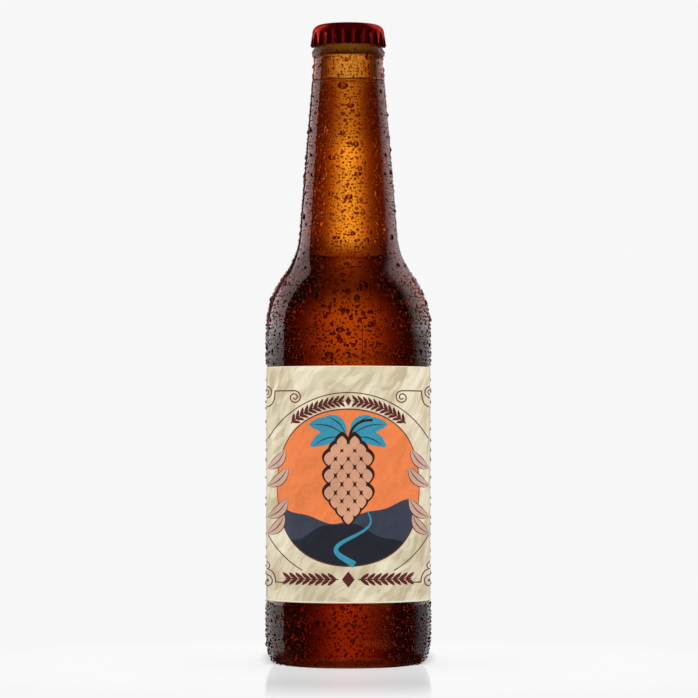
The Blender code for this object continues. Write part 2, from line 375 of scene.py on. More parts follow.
# kinds of drop: spacing with the share kept, spots (degrees to the right of the front, height) or the
# distance from the paper's side edges, zone of heights, radius range, contact angle range in degrees,
# stretch down the wall, sides, rings by share of the radius, all sizes in mm
drops = {
    "seed": 7,
    "sunk": 0.03 * mm,
    "kinds": [
        {"name": "run", "spots": ((9.6, 119.0), (-97.0, 136.0), (118.0, 12.5)), "radius": (0.2, 0.24),
         "angle": (38, 46), "sag": 0.0, "stretch": (26, 30), "sides": 24, "rings": (0.5, 0.85, 1.0)},
        {"name": "bead", "spots": ((9.7, 112.2), (-96.9, 129.2), (118.1, 5.8)), "radius": (0.55, 0.68),
         "angle": (70, 78), "sag": 0.36, "stretch": (1.15, 1.35), "sides": 14,
         "rings": (0.3, 0.6, 0.82, 0.95, 1.0)},
        {"name": "large", "spacing": 9.6, "keep": 0.6, "radius": (0.75, 1.1), "angle": (54, 68),
         "sag": 0.36, "stretch": (1.0, 1.3), "sides": 14, "rings": (0.3, 0.6, 0.82, 0.95, 1.0)},
        {"name": "edge", "spacing": 3.6, "edge": 1.2, "radius": (0.5, 0.85), "angle": (74, 86), "sag": 0.3,
         "stretch": (1.0, 1.5), "sides": 12, "rings": (0.3, 0.6, 0.82, 0.95, 1.0)},
        {"name": "middle", "spacing": 4.2, "keep": 0.6, "radius": (0.38, 0.64), "angle": (58, 74),
         "sag": 0.3, "stretch": (1.05, 1.45), "sides": 10, "rings": (0.4, 0.75, 0.94, 1.0)},
        {"name": "fine", "zone": (142, 230), "spacing": 1.34, "keep": 0.9, "radius": (0.19, 0.37),
         "angle": (56, 74), "sag": 0.16, "stretch": (1.0, 1.35), "sides": 8, "rings": (0.62, 1.0)},
        {"name": "small", "zone": (0, 142), "spacing": 1.68, "keep": 0.92, "radius": (0.23, 0.48),
         "angle": (60, 78), "sag": 0.16, "stretch": (1.0, 1.3), "sides": 9, "rings": (0.62, 1.0)},
    ],
    "reach": 227.3 * mm,    # the glass is wet up to this height
    "thinnest": 11.6 * mm,  # and outside these two radii, the groove's and the heel's
    "heel": 26 * mm,
}


def waterDrop():
    # condensed water on amber glass: a strong little lens, so a drop looks dark red with a bright rim
    material, add = newMaterial("condensedWater")
    # its dark red colour is painted shade: clear water tinted so that a drop looks darker than its lens
    # alone makes it
    water = add("BsdfPrincipled", {"Base Color": (0.68, 0.37, 0.31, 1), "Roughness": 0.0, "IOR": 1.333,
                                   "Transmission Weight": 1.0})
    add("OutputMaterial", {"Surface": water})
    return material


def wallTable():
    # the outer wall as s, r, z and its outward slope (nr, nz), every 0.1 mm from the collar down
    line = respace(outerLine(), lambda r, z: np.full(len(r), 0.1 * mm))
    line = relax(line, 40)
    s = np.r_[0, np.cumsum(np.hypot(*np.diff(line, axis=0).T))]
    along = np.gradient(line, axis=0)
    along /= np.hypot(along[:, 0], along[:, 1])[:, None]
    foot = np.argmin(line[:, 1] + (line[:, 0] < drops["heel"]))
    wet = (line[:, 1] < drops["reach"]) & (line[:, 0] > drops["thinnest"]) & (s < s[foot])
    return s[wet], line[wet, 0], line[wet, 1], -along[wet, 1], along[wet, 0]


def scatter(wall, spacing, keep, draw):
    # rows 0.87 spacing apart along s, each with round(2 pi r / spacing) places, jittered by 0.28 spacing
    s, r = wall[0], wall[1]
    rows = np.arange(s[0] + spacing / 2, s[-1] - spacing / 2, 0.87 * spacing)
    counts = np.maximum(np.round(2 * math.pi * np.interp(rows, s, r) / spacing), 3).astype(int)
    row = np.repeat(np.arange(len(rows)), counts)
    place = np.arange(counts.sum()) - np.repeat(np.cumsum(counts) - counts, counts)
    jitter = draw.uniform(-0.28, 0.28, (2, len(row)))
    angle = 2 * math.pi * (place + 0.5 * (row % 2) + jitter[0]) / counts[row]
    spot = rows[row] + jitter[1] * spacing
    kept = draw.uniform(size=len(row)) < keep
    return angle[kept], spot[kept]


def onWall(wall, angle, s, lift):
    # point of the wall at an angle and a length s, moved out by lift along the wall's normal
    r, z, nr, nz = [np.interp(s, wall[0], column) for column in wall[1:]]
    r = r + lift * nr
    return np.stack([r * np.cos(angle), r * np.sin(angle), z + lift * nz], axis=-1)


def dropShapes(wall, kind, angle, s, radius, draw):
    # a cap of a sphere on the curved wall: height(q) = R (sqrt(1 / sin^2 c - q^2) - cot c), c the contact
    # angle, its outline R (1 + a cos 2t + b cos 3t), its top sunk a little towards the drop's lower side
    count, sides, rings = len(radius), kind["sides"], np.array(kind["rings"])
    contact = np.radians(draw.uniform(*kind["angle"], count))[:, None, None]
    stretch = draw.uniform(*kind["stretch"], count)[:, None, None]
    t = 2 * math.pi * np.arange(sides) / sides
    phases = draw.uniform(0, 2 * math.pi, (2, count))[:, :, None, None]
    outline = 1 + 0.06 * np.cos(2 * t + phases[0]) + 0.04 * np.cos(3 * t + phases[1])
    q = rings[None, :, None]
    size = radius[:, None, None]
    across = size * q * outline * np.cos(t)
    down = size * stretch * (q * outline * np.sin(t) + kind["sag"] * (1 - q**2))
    lift = size * (np.sqrt(1 / np.sin(contact)**2 - q**2) - 1 / np.tan(contact)) + 0 * t
    lift[:, -1] = -drops["sunk"]
    peak = size[:, :, 0] * (1 / np.sin(contact[:, :, 0]) - 1 / np.tan(contact[:, :, 0]))
    r = np.interp(s, wall[0], wall[1])[:, None, None]
    body = onWall(wall, angle[:, None, None] + across / r, s[:, None, None] + down, lift)
    body = body.reshape(count, -1, 3)
    top = onWall(wall, angle[:, None], s[:, None] + kind["sag"] * (size * stretch)[:, :, 0], peak)
    base = onWall(wall, angle[:, None], s[:, None], np.full((count, 1), -drops["sunk"]))
    points = np.concatenate([top, base, body], axis=1)
    # the angle grows anticlockwise and s downwards, so outward faces run top, next, here
    here, follow = np.arange(sides), (np.arange(sides) + 1) % sides
    ring = 2 + (len(rings) - 1) * sides
    fan = np.stack([np.zeros(sides, int), 2 + follow, 2 + here], axis=1)
    walls = 2 + gridFaces(len(rings), sides, True)[:, ::-1]
    seat = np.stack([np.ones(sides, int), ring + here, ring + follow], axis=1)
    shift = (np.arange(count) * points.shape[1])[:, None, None]
    rims = ring + here[None] + shift[:, 0]
    blocks = [(block + shift).reshape(-1, block.shape[1]) for block in (fan, walls, seat)]
    return points.reshape(-1, 3), blocks, rims


def dryPaper(points, radius):
    # true where a drop would touch the label
    x, y, z = points.T
    beside = np.abs(np.arctan2(x, -y)) * bodyRadius < bodyRadius * math.pi / 2 + 0.3 * mm + radius
    away = radius * 1.3 + 0.1 * mm
    return beside & (z < labelHigh[2] + away) & (z > labelLow[2] - away)


def makeDrops(material):
    draw = np.random.default_rng(drops["seed"])
    wall = wallTable()
    placed = np.zeros((0, 4))
    for kind in drops["kinds"]:
        if "edge" in kind:
            # a row down each side edge of the paper, where water gathers
            height = np.arange(labelLow[2] + 2 * mm, labelHigh[2] - 2 * mm, kind["spacing"] * mm)
            height = np.repeat(height + draw.uniform(-0.3, 0.3, len(height)) * kind["spacing"] * mm, 2)
            beside = math.pi / 2 + (kind["edge"] + draw.uniform(0, 1.2, len(height))) * mm / bodyRadius
            angle = -math.pi / 2 + np.where(np.arange(len(height)) % 2, beside, -beside)
            s = np.interp(-height, -wall[2], wall[0])
        elif "spots" in kind:
            turn, height = np.array(kind["spots"]).T
            angle, s = np.radians(turn - 90), np.interp(-height * mm, -wall[2], wall[0])
        else:
            angle, s = scatter(wall, kind["spacing"] * mm, kind["keep"], draw)
        low, high = np.array(kind["radius"]) * mm
        radius = low + (high - low) * draw.uniform(size=len(s))**1.6
        spot = onWall(wall, angle, s, 0 * s)
        free = ~dryPaper(spot, radius)
        if "zone" in kind:
            free &= (spot[:, 2] >= kind["zone"][0] * mm) & (spot[:, 2] < kind["zone"][1] * mm)
        if len(placed) and "spots" not in kind:
            apart = np.sqrt(np.maximum((spot**2).sum(axis=1)[:, None] + (placed[:, :3]**2).sum(axis=1)
                                       - 2 * spot @ placed[:, :3].T, 0))
            free &= (apart > 1.12 * (radius[:, None] + placed[:, 3])).all(axis=1)
        angle, s, radius = angle[free], s[free], radius[free]
        # the whole length of a drop keeps smaller ones off
        stretch = kind["stretch"][0]
        reach = stretch * radius[:, None] * np.linspace(-0.95, 0.95, 1 + 2 * int(stretch / 2))
        taken = onWall(wall, angle[:, None], s[:, None] + reach, 0 * reach).reshape(-1, 3)
        placed = np.concatenate([placed, np.column_stack([taken, np.repeat(radius, reach.shape[1])])])
        # no piece over 200,000 triangles: many drops are shared out by height
        shares = 1 + len(s) // 6000
        for share, some in enumerate(np.array_split(np.argsort(s), shares)):
            points, faces, rims = dropShapes(wall, kind, angle[some], s[some], radius[some], draw)
            name = kind["name"] + "Drops" + (str(share + 1) if shares > 1 else "")
            sharpenRims(makePiece(name, points, faces, material).data, rims, len(points))
        print("drops:", kind["name"], len(s))


def sharpenRims(mesh, rims, count):
    # the edge where a drop's dome meets its flat seat stays sharp, so that its base is smooth
    onRim = np.zeros(count, bool)
    onRim[rims.ravel()] = True
    ends = np.empty(len(mesh.edges) * 2, np.int32)
    mesh.edges.foreach_get("vertices", ends)
    sharp = onRim[ends.reshape(-1, 2)].all(axis=1)
    mesh.attributes.new("sharp_edge", "BOOLEAN", "EDGE").data.foreach_set("value", sharp)


# Cap

cap = {
    "teeth": 21,
    "around": 16,            # columns to a tooth
    "topRound": 3.2 * mm,
    "fluteShadingTop": (4.1 * mm, 1.6 * mm),   # how far below the top the flutes' colours are full, and begin
    "sideRadius": 13.4 * mm,
    "sharpness": 1.6,
    "ridgeFlare": 0.75 * mm,
    "valleyDepth": 0.65 * mm,
    "tipDip": 0.4 * mm,
    "sheet": 0.26 * mm,
    "crown": "a80009",
    # painted shade and highlight across a flute, from its crest over its flank to the valley beside it:
    # share of the way and colour
    "fluteShading": ((0.0, "4a0004"), (0.55, "98000a"), (0.9, "e01018"), (1.0, "ff4c46")),
}


def redLacquer():
    # clear red lacquer over tinplate: metal glints through the colour under a glossy coat,
    # with painted shade on the flutes' crests and painted highlights in the valleys between them
    material, add = newMaterial("redLacquerOnTinplate")
    place = add("TexCoord").outputs["Object"]
    parts = add("SeparateXYZ", {0: place})
    # painted shade and highlight in stripes round the cap, one dark and one light to a tooth
    around = add("Math", {0: parts.outputs["X"], 1: parts.outputs["Y"]}, operation="ARCTAN2")
    turns = add("Math", {0: around, 1: float(cap["teeth"]), 2: math.pi * (cap["teeth"] + 1)},
                operation="MULTIPLY_ADD")
    wave = add("Math", {0: turns}, operation="COSINE")
    share = add("MapRange", {"Value": wave, "From Min": -1.0, "From Max": 1.0})
    fluteShading = add("ValToRGB", {"Fac": share})
    fillRamp(fluteShading, [(spot, linear(code)) for spot, code in cap["fluteShading"]])
    # the painted flute shade and highlight fade in below the top's corner, over the plain red of the top
    low, high = capHigh[2] - np.array(cap["fluteShadingTop"])
    fluteShadingMask = add("MapRange", {"Value": parts.outputs["Z"], "From Min": low, "From Max": high, "To Min": 1.0,
                             "To Max": 0.0}, interpolation_type="SMOOTHSTEP")
    colour = add("Mix", {"Factor": fluteShadingMask, "A": (*linear(cap["crown"]), 1), "B": fluteShading.outputs["Color"]},
                 data_type="RGBA")
    # scuffs: short fine scratches and rubbed spots dull the gloss
    scuff = add("TexNoise", {"Vector": place, "Scale": 1 / (2.2 * mm), "Detail": 4.0, "Distortion": 1.5})
    rough = add("MapRange", {"Value": scuff.outputs["Fac"], "From Min": 0.35, "From Max": 0.75,
                             "To Min": 0.2, "To Max": 0.38})
    peel = add("TexNoise", {"Vector": place, "Scale": 1 / (0.9 * mm), "Detail": 2.0})
    bump = add("Bump", {"Height": peel.outputs["Fac"], "Strength": 0.12, "Distance": 0.03 * mm})
    lacquer = add("BsdfPrincipled", {"Base Color": colour.outputs["Result"], "Metallic": 0.9,
                                     "Roughness": rough, "Specular Tint": (0.5, 0.004, 0.008, 1),
                                     "Coat Weight": 0.14, "Coat Roughness": 0.06, "Normal": bump})
    add("OutputMaterial", {"Surface": lacquer})
    return material


def crownSide(inset):
    # one side of the sheet: flat top, quarter-round corner, then a skirt whose radius is
    # side + flare * ridge * t - valley * (1 - ridge) * sqrt(t), ridge = ((1 + cos 21 a) / 2) ** sharpness
    columns = cap["teeth"] * cap["around"]
    a = 2 * math.pi * np.arange(columns) / columns - math.pi / 2
    ridge = ((1 + np.cos(cap["teeth"] * (a + math.pi / 2))) / 2) ** cap["sharpness"]
    corner = arcPoints((cap["sideRadius"] - cap["topRound"], capHigh[2] - cap["topRound"]),
                       cap["topRound"] - inset, 90, 0, 14)[:-1]
    flat = np.stack([np.linspace(0.5 * mm, corner[0, 0], 10)[:-1], np.full(9, corner[0, 1])], axis=1)
    plain = np.concatenate([flat, corner])
    t = np.linspace(0, 1, 24)[:, None]
    foot = capHigh[2] - cap["topRound"]
    tip = capLow[2] + cap["tipDip"] * (1 - ridge)
    side = (cap["sideRadius"] - inset + cap["ridgeFlare"] * ridge * t
            - cap["valleyDepth"] * (1 - ridge) * np.sqrt(t))
    height = foot + (tip - foot) * t
    r = np.concatenate([np.repeat(plain[:, :1], columns, axis=1), side])
    z = np.concatenate([np.repeat(plain[:, 1:], columns, axis=1), height])
    return np.stack([r * np.cos(a), r * np.sin(a), z], axis=-1)


def makeCap(material):
    outside, inside = crownSide(0), crownSide(cap["sheet"])[::-1]
    grid = np.concatenate([outside, inside])
    poles = np.array([[0, 0, capHigh[2]], [0, 0, capHigh[2] - cap["sheet"]]])
    points = np.concatenate([grid.reshape(-1, 3), poles])
    piece = makePiece("crownCap", points, shellFaces(*grid.shape[:2]), material)
    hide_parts("cap")
    print("cap:", len(grid), "rows")


# Label

label = {
    "columns": 230,
    "rows": 200,
    "sunk": 0.12 * mm,      # the paper's face below the body's radius
    "paper": 0.08 * mm,
    "trimmed": 0.3 * mm,    # at the top, to the photo's height
    # the paper's colour with painted shade in its hollows and painted highlight on its crests, its cut
    # edge, and painted shade on its sides
    "foldShadeColours": ((0.2, "cfbf9c"), (0.5, "eaddbc"), (0.8, "fbf1d6")),
    "cutEdge": "fff4de",
    "cutFrom": (0.65 * mm, 0.5 * mm),       # in from the top and low edges
    "sideShade": "b5ae9e",
    "sideShadeFrom": (40 * mm, 47 * mm),         # out from the middle, along the arc
    # crumple: each size of facet's lie in degrees, length and width in mm, and share
    "facets": ((58, 15, 6.0, 0.42), (22, 8, 3.4, 0.3), (52, 9, 1.5, 0.28)),
    # the print, in mm: heights, and half widths round the bottle and up it
    "middle": 65.8,
    "medallion": (31.2, 28.4),
    "ring": 34.4,
    "inkDepth": 0.008,
    # each ink's colour and its height above the paper, so that later inks lie on earlier ones
    "inks": {
        "orange": ("ff8743", 0.016),
        "slate": ("3d4459", 0.030),
        "navy": ("262a3b", 0.044),
        "line": ("733426", 0.058),
        "teal": ("2b9dbb", 0.072),
        "blush": ("dbb09c", 0.072),
        "brown": ("43190f", 0.086),
        "wine": ("6e1712", 0.086),
        "peach": ("e2a480", 0.100),
    },
}


def onLabel(s, z, lift):
    # a place on the paper: s along the arc from the middle, z the height, lift out from the paper
    a = s / bodyRadius - math.pi / 2
    r = bodyRadius - label["sunk"] + lift
    return np.stack([r * np.cos(a), r * np.sin(a), z + 0 * a], axis=-1)


def folds(add):
    # crumpled paper: stretched Voronoi cells over (s, z), every cell a facet with a height of its own that
    # blends into the next over the crease; gives that facet height, also used as painted crumple shade, the
    # bump, the places (s, z) and the height
    place = add("TexCoord").outputs["Object"]
    parts = add("SeparateXYZ", {0: place})
    front = add("Math", {0: parts.outputs["Y"], 1: -1.0}, operation="MULTIPLY")
    around = add("Math", {0: parts.outputs["X"], 1: front}, operation="ARCTAN2")
    s = add("Math", {0: around, 1: bodyRadius}, operation="MULTIPLY")
    flat = add("CombineXYZ", {"X": s, "Y": parts.outputs["Z"]})
    drift = add("TexNoise", {"Vector": flat, "Scale": 1 / (11 * mm), "Detail": 3.0})
    bent = add("VectorMath", {0: drift.outputs["Color"], 1: (7 * mm, 7 * mm, 0), 2: flat},
               operation="MULTIPLY_ADD")
    foldHeightAndShade = None
    for lie, length, width, share in label["facets"]:
        stretched = add("Mapping", {"Vector": bent, "Rotation": (0, 0, math.radians(lie)),
                                    "Scale": (length * mm, width * mm, 1)}, vector_type="TEXTURE")
        cells = add("TexVoronoi", {"Vector": stretched, "Scale": 1.0, "Smoothness": 0.3},
                    feature="SMOOTH_F1")
        grey = add("SeparateColor", {0: cells.outputs["Color"]})
        grey = add("Math", {0: grey, 1: share}, operation="MULTIPLY")
        foldHeightAndShade = grey if foldHeightAndShade is None else add("Math", {0: foldHeightAndShade, 1: grey}, operation="ADD")
    bump = add("Bump", {"Height": foldHeightAndShade, "Strength": 0.6, "Distance": 0.25 * mm})
    return foldHeightAndShade, bump, flat, parts.outputs["Z"]


def labelPaper():
    # uncoated cream label paper, crumpled and smoothed out again, with painted shade and highlight on the
    # crumple, lighter where it is cut, with fine fibres
    material, add = newMaterial("creamLabelPaper")
    foldHeightAndShade, bump, flat, height = folds(add)
    # painted shade in the crumple's hollows and painted highlight on its crests
    ramp = add("ValToRGB", {"Fac": foldHeightAndShade})
    fillRamp(ramp, [(spot, linear(code)) for spot, code in label["foldShadeColours"]])
    fibres = add("TexNoise", {"Vector": flat, "Scale": 1 / (0.7 * mm), "Detail": 2.0})
    speck = add("MapRange", {"Value": fibres.outputs["Fac"], "To Min": 0.95, "To Max": 1.05})
    dusted = add("VectorMath", {0: ramp.outputs["Color"], "Scale": speck}, operation="SCALE")
    away = add("Math", {0: height, 1: (labelHigh[2] + labelLow[2]) / 2}, operation="SUBTRACT")
    away = add("Math", {0: away}, operation="ABSOLUTE")
    near, far = (labelHigh[2] - labelLow[2]) / 2 - np.array(label["cutFrom"])
    cut = add("MapRange", {"Value": away, "From Min": near, "From Max": far})
    whole = add("Mix", {"Factor": cut, "A": dusted, "B": (*linear(label["cutEdge"]), 1)}, data_type="RGBA")
    # painted shade: greyer towards the two side edges
    side = add("SeparateXYZ", {0: flat})
    side = add("Math", {0: side.outputs["X"]}, operation="ABSOLUTE")
    near, far = label["sideShadeFrom"]
    sideShade = add("MapRange", {"Value": side, "From Min": near, "From Max": far, "To Max": 0.6})
    whole = add("Mix", {"Factor": sideShade, "A": whole.outputs["Result"], "B": (*linear(label["sideShade"]), 1)},
                data_type="RGBA")
    paper = add("BsdfPrincipled", {"Base Color": whole.outputs["Result"], "Roughness": 0.8, "Normal": bump})
    add("OutputMaterial", {"Surface": paper})
    return material


def inkOnPaper(name, colour):
    # offset ink soaked into the same crumpled paper: a little glossier, with the paper's painted crumple
    # shade and highlight
    material, add = newMaterial(name)
    foldHeightAndShade, bump, flat, _ = folds(add)
    grain = add("TexNoise", {"Vector": flat, "Scale": 1 / (1.3 * mm), "Detail": 3.0})
    # painted crumple shade and highlight, mixed with the ink's random grain
    both = add("Math", {0: foldHeightAndShade, 1: grain.outputs["Fac"]}, operation="ADD")
    light = add("MapRange", {"Value": both, "From Min": 0.5, "From Max": 1.5, "To Min": 0.86,
                             "To Max": 1.14})
    tint = add("VectorMath", {0: linear(colour), "Scale": light}, operation="SCALE")
    ink = add("BsdfPrincipled", {"Base Color": tint, "Roughness": 0.6, "Normal": bump})
    add("OutputMaterial", {"Surface": ink})
    return material


def sheet(grid, front, back):
    # closed thin sheet: a grid of places (s, z) at two lifts, all in metres, with a rim round it
    across, down = np.diff(grid[:-1], axis=1), np.diff(grid[:, :-1], axis=0)
    if (across[..., 0] * down[..., 1] - across[..., 1] * down[..., 0]).sum() > 0:
        grid = grid[:, ::-1]
    rows, columns = grid.shape[:2]
    count = rows * columns
    points = [onLabel(grid[..., 0], grid[..., 1], lift).reshape(-1, 3) for lift in (front, back)]
    faces = gridFaces(rows, columns, False)
    edge = np.concatenate([np.arange(columns), np.arange(1, rows) * columns + columns - 1,
                           count - 2 - np.arange(columns - 1), np.arange(rows - 2, 0, -1) * columns])
    follow = np.roll(edge, -1)
    rim = np.stack([edge, follow, follow + count, edge + count], axis=1)
    return np.concatenate(points), np.concatenate([faces, faces[:, ::-1] + count, rim])


def ribbon(path, width, columns=2):
    # a band along a line: the line plus its normal times width, from -1/2 to 1/2
    path = np.asarray(path, float)
    along = np.gradient(path, axis=0)
    along /= np.hypot(along[:, 0], along[:, 1])[:, None]
    side = np.stack([-along[:, 1], along[:, 0]], axis=1) * np.broadcast_to(width, len(path))[:, None]
    return path[:, None] + side[:, None] * np.linspace(0.5, -0.5, columns)[None, :, None]


def leaf(start, end, width, bend=0.0, columns=2, count=9):
    # a pointed leaf from start to end: width * sin(pi t)^0.8, bowed sideways by bend * sin(pi t)
    start, end = np.array(start, float), np.array(end, float)
    t = np.linspace(0.02, 0.98, count)
    sideways = np.array([start[1] - end[1], end[0] - start[0]]) * bend
    path = start + (end - start) * t[:, None] + sideways * np.sin(math.pi * t)[:, None]
    return ribbon(path, width * np.sin(math.pi * t)**0.8, columns)


def disc(centre, wide, high, count):
    # a square of u, v in -1 to 1 drawn into an oval: (u sqrt(1 - v^2 / 2), v sqrt(1 - u^2 / 2))
    u, v = np.meshgrid(np.linspace(-1, 1, count), np.linspace(1, -1, count))
    return np.stack([centre[0] + wide * u * np.sqrt(1 - v**2 / 2),
                     centre[1] + high * v * np.sqrt(1 - u**2 / 2)], axis=-1)


def hill(line, rows):
    # the ground inside the medallion below z = line(s)
    wide, high = label["medallion"][0] - 0.15, label["medallion"][1] - 0.15
    s = np.linspace(-0.997, 0.997, 121) * wide
    rim = high * np.sqrt(1 - (s / wide)**2)
    floor = label["middle"] - rim
    top = np.minimum(line(s), label["middle"] + rim)
    kept = top - floor > 0.1
    s, floor, top = s[kept], floor[kept], top[kept]
    t = np.linspace(1, 0, rows)[:, None]
    return np.stack([s + 0 * t, floor + (top - floor) * t], axis=-1)


def wrapped(path):
    # the flat print's x wrapped round the bottle: s = r asin(x / r)
    r = (bodyRadius - label["sunk"]) / mm
    path = np.array(path, float)
    path[..., 0] = r * np.arcsin(np.clip(path[..., 0] / r, -0.9985, 0.9985))
    return path


def ringPath(radius, start, end, count):
    # (radius sin t, middle + radius cos t), t in degrees from the top
    t = np.radians(np.linspace(start, end, count))
    return np.stack([radius * np.sin(t), label["middle"] + radius * np.cos(t)], axis=1)


def spiral(centre, start, end, turns, count):
    # from the top clockwise, the radius falling evenly from start to end
    t = np.linspace(0, 1, count)
    radius, a = start + (end - start) * t, math.pi / 2 - 2 * math.pi * turns * t
    return np.stack([centre[0] + radius * np.cos(a), centre[1] + radius * np.sin(a)], axis=1)


def straight(start, end, z, count):
    return np.stack([np.linspace(start, end, count), np.full(count, z)], axis=1)


def sideOrnament():
    # the left half's lines, drawn flat, each with its width: ring ends, corner scrolls, edge circles
    ring, top, low = label["ring"], 100.95, 31.1
    scroll = np.concatenate([straight(-26.9, -19.8, top, 12),
                             spiral((-19.6, top - 2.4), 2.4, 0.45, 1.7, 50)])
    return [
        (ringPath(ring, -59, 0, 60), 0.34),
        (ringPath(ring, -151, -121, 30), 0.34),
        (scroll, 0.42),
        (bezierPoints([(-30.0, 95.2), (-27.4, 95.6), (-26.9, 98.0), (-26.9, top + 0.2)], 16), 0.42),
        (arcPoints((-30.3, 100.6), 2.1, -84, 84, 16), 0.42),
        (arcPoints((-30.3, 100.6), 1.0, -80, 80, 10), 0.36),
        (straight(-26.6, -23.4, low, 6), 0.42),
        (bezierPoints([(-26.6, low - 0.2), (-26.8, 34.4), (-28.0, 35.3), (-29.6, 35.5)], 14), 0.42),
        (arcPoints((-30.2, 36.9), 1.3, -84, 84, 10), 0.36),
        (arcPoints((-29.9, 31.4), 2.0, -98, 98, 18), 0.42),
    ]


def drawPrint():
    # the print's patches by ink, each a grid of (s, z) in mm
    middle, (wide, high) = label["middle"], label["medallion"]
    patches = {name: [] for name in label["inks"]}

    def draw(ink, patch):
        patches[ink].append(patch)

    draw("orange", disc((0, middle), wide, high, 66))
    draw("slate", hill(lambda s: 57.0 + 3.6 * np.sin(s / 9.5 - 0.9) + 0.8 * np.sin(s / 3.1), 22))
    draw("navy", hill(lambda s: 49.5 + 3.4 * np.sin(s / 7.5 + 1.9) + 0.5 * np.sin(s / 2.3), 16))
    a = np.radians(np.linspace(-89.9, 269.9, 200))
    rim = np.stack([wide * np.cos(a), middle + high * np.sin(a)], axis=1)
    draw("line", ribbon(rim, 0.45))

    # a river down through the hills
    down = np.linspace(0, 1, 30)
    sway = 6.5 * np.sin(down * 7.0) * (0.35 + 0.65 * down)
    river = np.stack([7 + sway - 9 * down, 57.5 - 19.6 * down], axis=1)
    draw("teal", ribbon(river, 0.5 + 1.9 * down**1.5, 4))

    # a hop cone: stalk, leaves, and scales in rows on a dark cone
    draw("brown", ribbon(bezierPoints([(0.5, 84), (1, 88), (4, 90.5), (9, 90.2)], 14), 0.9))
    rows = ((55.4, 1), (58.3, 2), (61.2, 3), (64.3, 4), (67.4, 3), (70.5, 4), (73.6, 3), (76.7, 4),
            (79.6, 3), (82.4, 2))
    for z, count in rows:
        for k in range(count):
            x = (k - (count - 1) / 2) * 4.7
            draw("brown", leaf((x * 0.92, z + 3.8), (x * 1.05, z - 3.6), 5.6, 0.0, 6))
            draw("peach", leaf((x * 0.96, z + 2.1), (x * 1.03, z - 2.9), 3.7, 0.0, 5))
    for side in (-1, 1):
        for start, end, width in (((1, 84.5), (15, 88.5), 6.0), ((1.5, 84), (14.5, 80.5), 5.0),
                                  ((0.8, 85), (8.5, 91.6), 4.2)):
            foot = (start[0] * side, start[1])
            draw("teal", leaf(foot, (end[0] * side, end[1]), width, 0.12 * side, 7, 13))
            draw("brown", leaf(foot, (end[0] * side * 0.92, end[1]), 0.4, 0.12 * side))

    # two ears of barley along the arch and two under the medallion, with a lozenge between
    arch, stemHeight = 31.35, 32.6
    for side in (-1, 1):
        draw("wine", wrapped(ribbon(ringPath(arch, side * 42, side * 3, 40), 0.4)))
        for k in range(11):
            for up in (-1, 1):
                a = side * (41 - 3.4 * k)
                foot = ringPath(arch + 0.1 * up, a, a, 1)[0]
                tip = ringPath(arch + 2.15 * up, a - side * 4.6, 0, 2)[0]
                draw("wine", wrapped(leaf(foot, tip, 1.05, 0.08 * side * up)))
        draw("wine", wrapped(ribbon(straight(side * 3.6, side * 23.0, stemHeight, 26), 0.4)))
        for k in range(8):
            for up in (-1, 1):
                foot = (side * (4.4 + 2.35 * k), stemHeight + 0.25 * up)
                tip = (foot[0] + side * 3.1, stemHeight + 2.3 * up)
                draw("wine", wrapped(leaf(foot, tip, 1.25, -0.08 * side * up)))
    half = np.linspace(0.02, 0.98, 15)
    lozenge = np.stack([0 * half, 29.7 + 5.8 * half], axis=1)
    draw("wine", ribbon(lozenge, 4.6 * (1 - abs(2 * half - 1)), 5))
    draw("wine", ribbon(lozenge * (1, 0.6) + (0, 77.6), 2.2 * (1 - abs(2 * half - 1)), 3))

    for flip in (1, -1):
        for path, width in sideOrnament():
            draw("line", wrapped(ribbon(path * (flip, 1), width)))
        draw("brown", wrapped(disc((-29.7 * flip, 31.4), 0.45, 0.5, 5)))
        for z, tip, width in ((48.5, -23.4, 3.4), (54.5, -22.2, 3.6), (66, -22, 3.6), (72.5, -23, 3.4)):
            start, end = (-29.9 * flip, z), (tip * flip, z + 7.2)
            draw("line", wrapped(leaf(start, end, width + 0.6, -0.12 * flip, 9, 17)))
            draw("blush", wrapped(leaf(start, end, width, -0.12 * flip, 9, 17)))
            draw("brown", wrapped(leaf(start, end, 0.34, -0.12 * flip, 2, 33)))
    return patches


def makeLabel(paper):
    reach = bodyRadius * math.pi / 2 + 0.05 * mm
    s, z = np.meshgrid(np.linspace(-reach, reach, label["columns"]),
                       np.linspace(labelHigh[2] - label["trimmed"], labelLow[2], label["rows"]))
    points, faces = sheet(np.stack([s, z], axis=-1), 0, -label["paper"])
    piece = makePiece("labelPaper", points, [faces], paper)
    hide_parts("label")
    for name, grids in drawPrint().items():
        colour, lift = label["inks"][name]
        points, faces, count = [], [], 0
        for patch in grids:
            some, their = sheet(patch * mm, lift * mm, (lift - label["inkDepth"]) * mm)
            points.append(some)
            faces.append(their + count)
            count += len(some)
        ink = makePiece(name + "Print", np.concatenate(points), [np.concatenate(faces)],
                        inkOnPaper(name + "Ink", colour))
        ink.data.shade_flat()
    print("label:", len(label["inks"]), "inks")


# Studio

